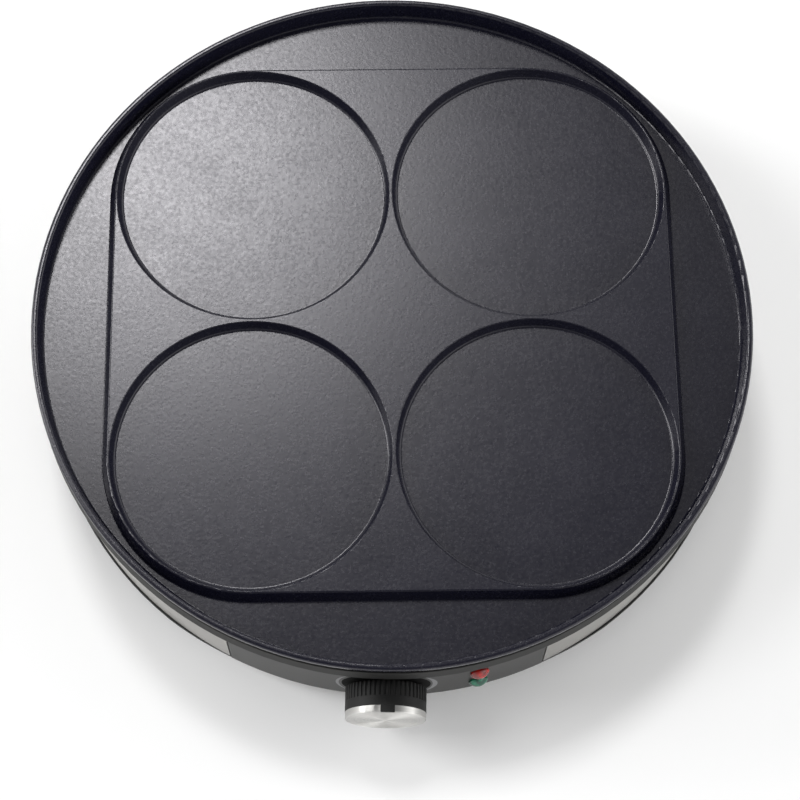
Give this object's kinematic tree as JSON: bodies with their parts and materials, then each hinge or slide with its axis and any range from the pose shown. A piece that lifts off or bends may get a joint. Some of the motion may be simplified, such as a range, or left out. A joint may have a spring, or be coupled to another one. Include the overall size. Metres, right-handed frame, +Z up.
{
  "type": "electric crepe maker",
  "caption": "Round electric crepe maker with a dark cast plate of shallow pancake hollows on a raised square, a steel band, a front panel with a turning heat knob, and red and green indicators.",
  "frame": {"origin": "centre of the footprint's box at the table", "axes": "+Z up; the knob and the front panel face -Y; +X is to the right of someone facing the knob"},
  "size_m": [0.3208, 0.334, 0.067],
  "materials": {
    "coated_plate": "cast, with a dark grey non-stick coating, satin",
    "shoulder_plastic": "heat-resistant moulding, fine grain",
    "band_steel": "brushed along its length",
    "panel_plastic": "painted, satin",
    "base_plastic": "moulded, fine grain",
    "foot_rubber": "matt",
    "knob_plastic": "moulded black, satin",
    "cap_metal": "spun face with a polished edge",
    "red_plastic": "clear red, gloss",
    "green_plastic": "clear green, gloss",
    "gland_plastic": "flexible moulding, matt",
    "zinc_steel": "zinc plated",
    "spring_steel": "as rolled",
    "element_steel": "oxidised sheath",
    "shield_steel": "aluminised sheet",
    "white_ceramic": "unglazed",
    "brass": "turned",
    "capillary_copper": "drawn copper",
    "phenolic": "moulded, dark brown",
    "block_plastic": "moulded, off-white",
    "lamp_glass": "clear bulb",
    "brown_wire": "silicone sleeve",
    "blue_wire": "silicone sleeve",
    "earth_wire": "green and yellow sleeve",
    "lead_wire": "grey sleeve"
  },
  "bodies": {
    "housing": {"baking_plate": "coated_plate", "heating_element": "element_steel", "element_beads": "white_ceramic", "element_tabs": "zinc_steel", "heat_shield": "shield_steel", "plate_spacers": "zinc_steel", "spacer_washers": "zinc_steel", "earth_tag": "zinc_steel", "plate_screws": "zinc_steel", "shoulder_ring": "shoulder_plastic", "steel_band": "band_steel", "front_panel": "panel_plastic", "panel_screws": "zinc_steel", "base_pan": "base_plastic", "base_screws": "zinc_steel", "rubber_feet": "foot_rubber", "thermostat_body": "phenolic", "thermostat_tabs": "brass", "thermostat_bush": "brass", "bush_nut": "brass", "thermostat_bracket": "zinc_steel", "bracket_screws": "zinc_steel", "sensor_bulb": "capillary_copper", "bulb_clips": "spring_steel", "fuse_clip": "spring_steel", "clip_screws": "zinc_steel", "thermal_fuse": "white_ceramic", "red_lens": "red_plastic", "green_lens": "green_plastic", "lens_washers": "spring_steel", "neon_lamps": "lamp_glass", "terminal_block": "block_plastic", "block_screws": "zinc_steel", "cord_gland": "gland_plastic", "live_wire": "brown_wire", "switched_wire": "brown_wire", "neutral_wires": "blue_wire", "earth_wire": "earth_wire", "lamp_leads": "lead_wire"},
    "knob": {"knob_body": "knob_plastic", "knob_cap": "cap_metal", "knob_spring": "spring_steel", "control_shaft": "zinc_steel"},
    "adjuster": {"adjusting_pin": "brass"}
  },
  "joints": [
    {"name": "knob_turn", "type": "hinge", "parent": "housing", "child": "knob", "pos_m": [0, -0.16, 0.0305], "axis": [0, 1, 0], "range_deg": [0, 270]},
    {"name": "pin_slide", "type": "slide", "parent": "housing", "child": "adjuster", "axis": [0, 1, 0], "range_m": [0, 0.00115]}
  ],
  "couplings": [
    {"joint": "pin_slide", "follows": "knob_turn", "m_per_rad": 0.00023873}
  ]
}
